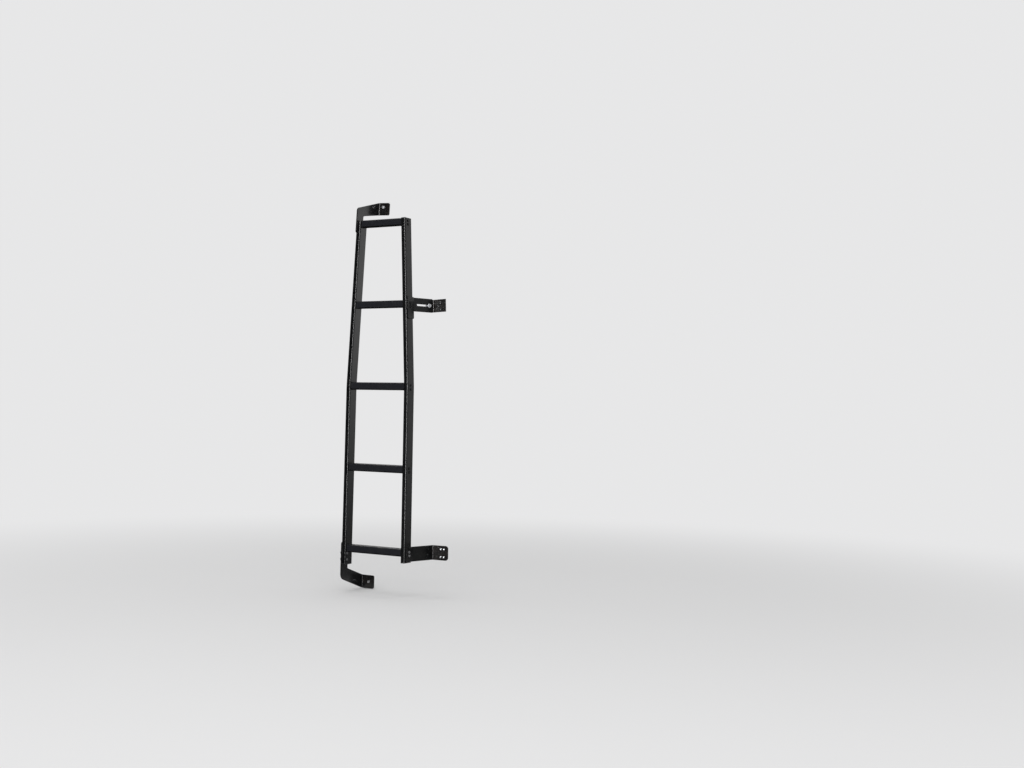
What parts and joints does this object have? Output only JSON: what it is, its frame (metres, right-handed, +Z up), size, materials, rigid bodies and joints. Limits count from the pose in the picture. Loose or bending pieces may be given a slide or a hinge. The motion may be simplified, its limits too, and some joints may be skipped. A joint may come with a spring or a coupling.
{
  "type": "van door ladder",
  "caption": "Black powder-coated ladder that bolts to a van's rear door: grooved rungs between two tubes that draw together at the top, held on straps at the left and hinge brackets at the right.",
  "frame": {"origin": "On the door face of the lower hinge bracket, at the middle of its four holes.", "axes": "+X to the right seen from behind the van, +Y forward into the door, +Z up along the ladder."},
  "size_m": [0.463, 0.17, 1.7533],
  "materials": {
    "powder_coat": "gloss",
    "cap_plastic": "satin",
    "rubber": "matte",
    "zinc": "satin"
  },
  "bodies": {
    "root": {"left_upper_tube": "powder_coat", "left_lower_tube": "powder_coat", "right_upper_tube": "powder_coat", "right_lower_tube": "powder_coat", "left_top_cap": "cap_plastic", "left_bottom_cap": "cap_plastic", "right_top_cap": "cap_plastic", "right_bottom_cap": "cap_plastic", "rung_1": "powder_coat", "rung_2": "powder_coat", "rung_3": "powder_coat", "rung_4": "powder_coat", "rung_5": "powder_coat", "left_rung_screws": "zinc", "right_rung_screws": "zinc", "top_left_bracket": "powder_coat", "bottom_left_bracket": "powder_coat", "bottom_strap_bolts": "zinc", "top_left_pad": "rubber", "bottom_left_pad": "rubber", "upper_hinge_arm": "powder_coat", "upper_hinge_plate": "powder_coat", "slot_bolt": "zinc", "slot_nut": "zinc", "lower_hinge_bracket": "powder_coat"}
  },
  "joints": []
}
